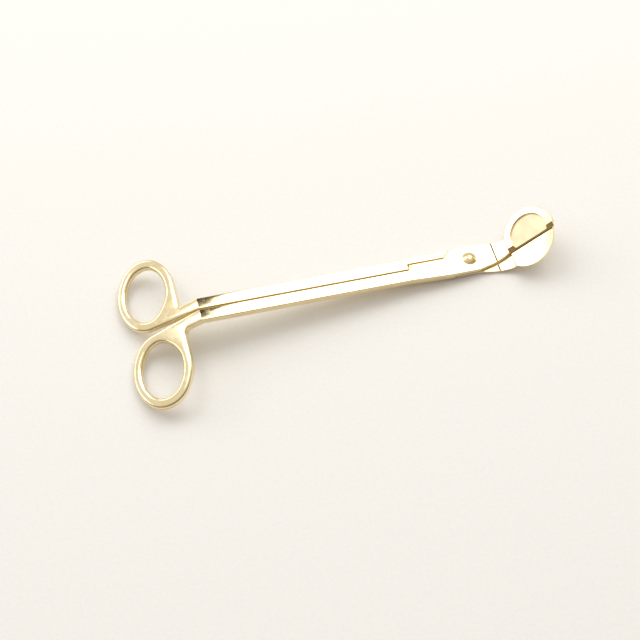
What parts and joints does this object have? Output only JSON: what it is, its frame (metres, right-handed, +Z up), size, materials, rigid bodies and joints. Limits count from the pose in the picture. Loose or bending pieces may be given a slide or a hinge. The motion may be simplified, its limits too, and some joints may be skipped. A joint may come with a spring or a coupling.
{
  "type": "candle wick trimmer",
  "caption": "Scissor-action candle wick trimmer: long slim levers, cranked finger loops, riveted lap pivot and an upturned head with a round debris pan.",
  "frame": {"origin": "on the table under the middle of the closed tool as it lies on its loop tips and the heel of its neck", "axes": "+X along the tool towards the head, +Y towards the blade lever's finger loop, +Z up from the table"},
  "size_m": [0.1798, 0.069, 0.018],
  "materials": {
    "lever_gold": "mirror polished stainless steel with a pale champagne-gold coating",
    "rivet_gold": "polished, pale gold coated",
    "shim_steel": "rolled spring steel"
  },
  "bodies": {
    "pan_side": {"pan_lever": "lever_gold", "pivot_rivet": "rivet_gold", "pivot_shim": "shim_steel", "rivet_burr": "rivet_gold"},
    "blade_side": {"blade_lever": "lever_gold"}
  },
  "joints": [
    {"name": "pivot", "type": "hinge", "parent": "pan_side", "child": "blade_side", "pos_m": [0.05407, 0, 0.00241], "axis": [-0.1043, 0, -0.9945], "range_deg": [0, 24]}
  ]
}
